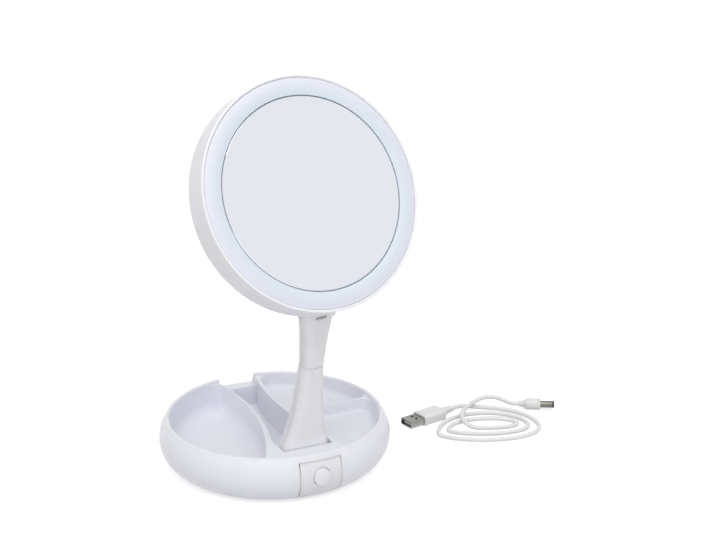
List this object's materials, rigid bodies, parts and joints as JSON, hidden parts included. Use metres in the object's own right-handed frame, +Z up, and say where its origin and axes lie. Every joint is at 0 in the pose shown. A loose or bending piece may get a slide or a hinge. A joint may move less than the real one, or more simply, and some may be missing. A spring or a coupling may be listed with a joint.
{
  "type": "lighted makeup mirror",
  "caption": "Round lighted table mirror on a folding, swivelling stem, over a round tray base with a push button, with its coiled supply lead.",
  "frame": {"origin": "middle of the base, on the plane that its feet stand on", "axes": "+Z up, -Y towards the user with the head facing that way, +X to the user's right"},
  "size_m": [0.32, 0.1972, 0.294],
  "materials": {
    "white_shell": "satin",
    "white_inner": "fine grain",
    "diffuser": "frosted",
    "mirror": "polished",
    "grey_rubber": "matte",
    "steel": "plain",
    "bright_metal": "plated",
    "cell": "printed sleeve, no text",
    "board": "white solder mask",
    "led": "phosphor",
    "black_plastic": "moulded",
    "white_tongue": "moulded",
    "white_lead": "soft matte"
  },
  "bodies": {
    "base": {"base_tray": "white_shell", "base_floor": "white_inner", "rubber_feet": "grey_rubber", "floor_screws": "steel", "foot_hinge_pin": "steel", "foot_hinge_washers": "steel", "switch_panel": "white_shell", "switch_body": "black_plastic", "control_board": "board", "dc_jack": "black_plastic", "dc_jack_pin": "steel", "aa_cells": "cell", "battery_contacts": "steel", "usb_shell": "bright_metal", "usb_tongue": "white_tongue", "usb_grip": "white_lead", "usb_strain_relief": "white_lead", "cord_coil": "white_lead", "cord_tail": "white_lead", "dc_plug_grip": "white_lead", "dc_plug_barrel": "bright_metal", "dc_plug_tip": "black_plastic"},
    "battery_door": {"battery_door": "white_inner"},
    "power_button": {"power_button": "white_shell", "switch_plunger": "black_plastic"},
    "stem_lower": {"stem_lower_front": "white_shell", "stem_lower_rear": "white_shell", "swivel_bush": "white_inner"},
    "stem_upper": {"stem_upper_front": "white_shell", "stem_upper_rear": "white_shell", "swivel_spindle": "steel", "swivel_washer": "white_inner", "swivel_clip": "steel", "head_hinge_pin": "steel"},
    "head": {"head_housing": "white_shell", "hinge_lug": "white_shell", "rear_mirror": "mirror", "rear_mirror_backplate": "white_inner", "light_carrier": "white_inner", "led_board": "board", "leds": "led", "diffuser_ring": "diffuser", "front_mirror": "mirror"}
  },
  "joints": [
    {"name": "stem_fold", "type": "hinge", "parent": "base", "child": "stem_lower", "pos_m": [0, -0.0502, 0.02], "axis": [-1, 0, 0], "range_deg": [0, 85]},
    {"name": "stem_swivel", "type": "hinge", "parent": "stem_lower", "child": "stem_upper", "pos_m": [0, -0.06746, 0.09914], "axis": [0, -0.213, 0.977], "range_deg": [-7, 173]},
    {"name": "head_tilt", "type": "hinge", "parent": "stem_upper", "child": "head", "pos_m": [0, -0.07668, 0.14145], "axis": [-0.9925, -0.1191, -0.026], "range_deg": [-29, 105]},
    {"name": "button_press", "type": "slide", "parent": "base", "child": "power_button", "axis": [0, 1, 0], "range_m": [0, 0.0015], "stiffness_N_per_m": 900, "springref_m": -0.0004},
    {"name": "door_open", "type": "hinge", "parent": "base", "child": "battery_door", "pos_m": [0.02475, 0, 0.0025], "axis": [0, 1, 0], "range_deg": [0, 80]}
  ]
}
